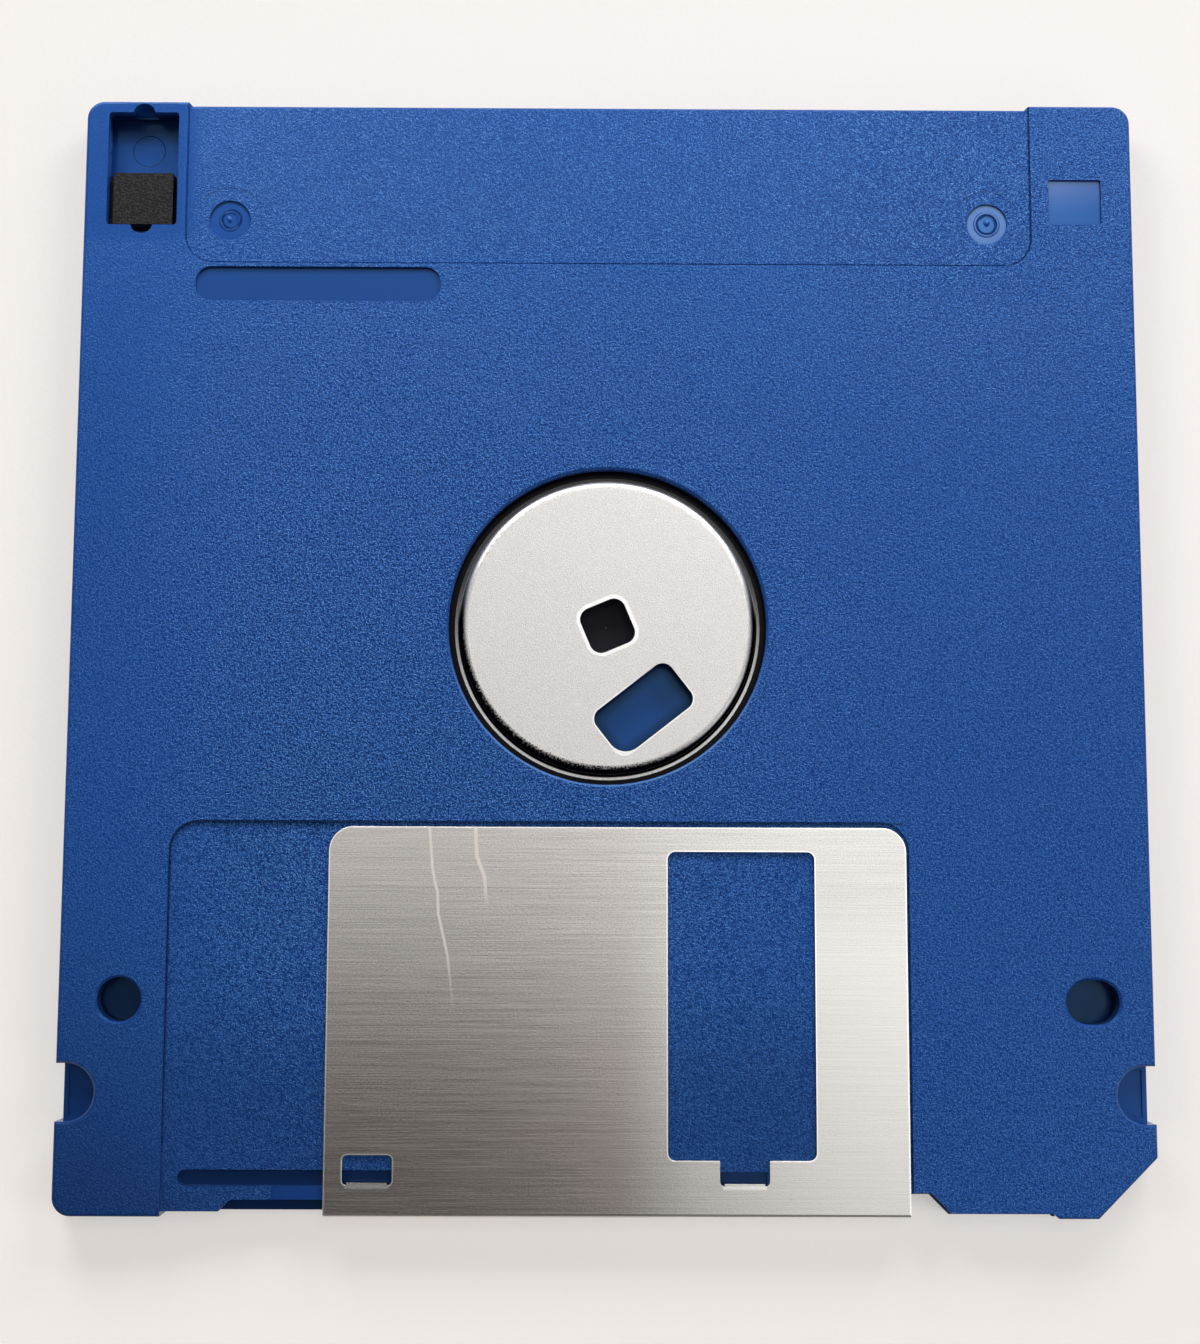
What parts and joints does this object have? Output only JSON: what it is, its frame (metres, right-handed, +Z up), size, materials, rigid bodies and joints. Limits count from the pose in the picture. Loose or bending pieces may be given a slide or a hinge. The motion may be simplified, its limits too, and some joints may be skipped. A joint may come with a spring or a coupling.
{
  "type": "floppy disk",
  "caption": "Low-density 90 mm floppy disk cartridge with a sprung sheet-metal shutter, a spinning hubbed film disk and a sliding write-protect tab.",
  "frame": {"origin": "centre of the case's outline, on the face that it lies on", "axes": "+X to the right with the hub side up and the shutter towards the viewer, +Y from the shutter end to the label end, +Z up out of the hub side"},
  "size_m": [0.09, 0.094, 0.0033],
  "materials": {
    "case_plastic": "fine spark-eroded grain, royal blue",
    "shutter_steel": "brushed across, cut edges bright",
    "spring_steel": "drawn wire",
    "tab_plastic": "fine grained black",
    "film": "smooth dark brown coating",
    "hub_steel": "matt pressed stainless, bright edges",
    "adhesive": "clear amber film",
    "liner_fabric": "non-woven felt",
    "lifter_film": "thin polyester leaf",
    "pad_plastic": "smooth black"
  },
  "bodies": {
    "case": {"hub_side_shell": "case_plastic", "label_side_shell": "case_plastic", "hub_side_liner": "liner_fabric", "label_side_liner": "liner_fabric", "liner_lifter": "lifter_film", "wear_pad": "pad_plastic", "shutter_spring": "spring_steel"},
    "shutter": {"shutter": "shutter_steel"},
    "disk": {"magnetic_disk": "film", "hub": "hub_steel", "hub_adhesive_ring": "adhesive"},
    "write_protect_tab": {"write_protect_tab": "tab_plastic"}
  },
  "joints": [
    {"name": "shutter_slide", "type": "slide", "parent": "case", "child": "shutter", "axis": [-1, 0, 0], "range_m": [0, 0.0125], "stiffness_N_per_m": 60, "springref_m": -0.006, "deforming": ["shutter_spring"]},
    {"name": "disk_spin", "type": "hinge", "parent": "case", "child": "disk", "pos_m": [0, 0.0015, 0], "axis": [0, 0, 1], "continuous": true},
    {"name": "write_protect_slide", "type": "slide", "parent": "case", "child": "write_protect_tab", "axis": [0, 1, 0], "range_m": [0, 0.0049]}
  ]
}
